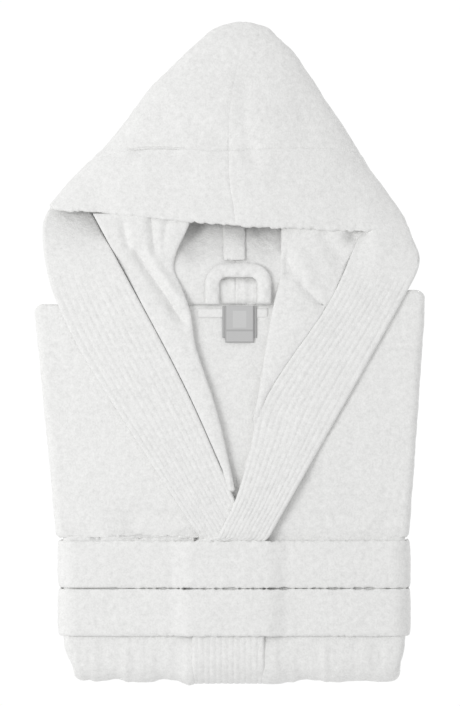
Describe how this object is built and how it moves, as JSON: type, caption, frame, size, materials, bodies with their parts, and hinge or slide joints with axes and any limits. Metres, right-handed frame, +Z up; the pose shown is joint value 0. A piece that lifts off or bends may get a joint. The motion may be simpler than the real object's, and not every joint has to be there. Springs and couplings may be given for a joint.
{
  "type": "hooded bathrobe",
  "caption": "Hooded terry bathrobe folded into a flat bundle, shawl lapels crossed, sash wound round it, hood laid open above with a hanging loop and a blank label.",
  "frame": {"origin": "middle of the outline, on the surface the folded robe lies on", "axes": "+X viewer's right, +Y from the folded skirt to the hood's peak, +Z up out of the chest"},
  "size_m": [0.411, 0.699, 0.0752],
  "materials": {
    "terry": "looped cotton terry, matt",
    "quilted_band": "terry band stitched in parallel rows",
    "sash": "flat terry sash",
    "twill_tape": "cotton twill tape",
    "label": "woven grey satin, blank"
  },
  "bodies": {
    "robe": {"back_panel": "terry", "front_panel_left": "terry", "front_panel_right": "terry", "front_band_left": "quilted_band", "front_band_right": "quilted_band", "sleeve_left": "terry", "sleeve_right": "terry", "cuff_left": "quilted_band", "cuff_right": "quilted_band", "pocket_left": "terry", "pocket_right": "terry", "belt_loop_left": "twill_tape", "belt_loop_right": "twill_tape", "neck_tape": "twill_tape"},
    "hood": {"hood_panel_left": "terry", "hood_panel_right": "terry", "hood_band_left": "quilted_band", "hood_band_right": "quilted_band", "hood_seam_tape": "twill_tape"},
    "loop": {"hanging_loop": "twill_tape"},
    "labels": {"care_label": "twill_tape", "brand_label": "label"},
    "sash": {"belt": "sash"}
  },
  "joints": [
    {"name": "hood_fold", "type": "hinge", "parent": "robe", "child": "hood", "pos_m": [0.006, 0.05, 0.0755], "axis": [1, 0, 0], "range_deg": [0, 175]},
    {"name": "loop_flip", "type": "hinge", "parent": "hood", "child": "loop", "pos_m": [0.0105, 0.0504, 0.0618], "axis": [1, 0, 0], "range_deg": [0, 100]},
    {"name": "label_flip", "type": "hinge", "parent": "robe", "child": "labels", "pos_m": [0.01, 0.0494, 0.0624], "axis": [-1, 0, 0], "range_deg": [0, 150]},
    {"name": "belt_slide", "type": "slide", "parent": "robe", "child": "sash", "axis": [0, -1, 0], "range_m": [0, 0.16]}
  ]
}
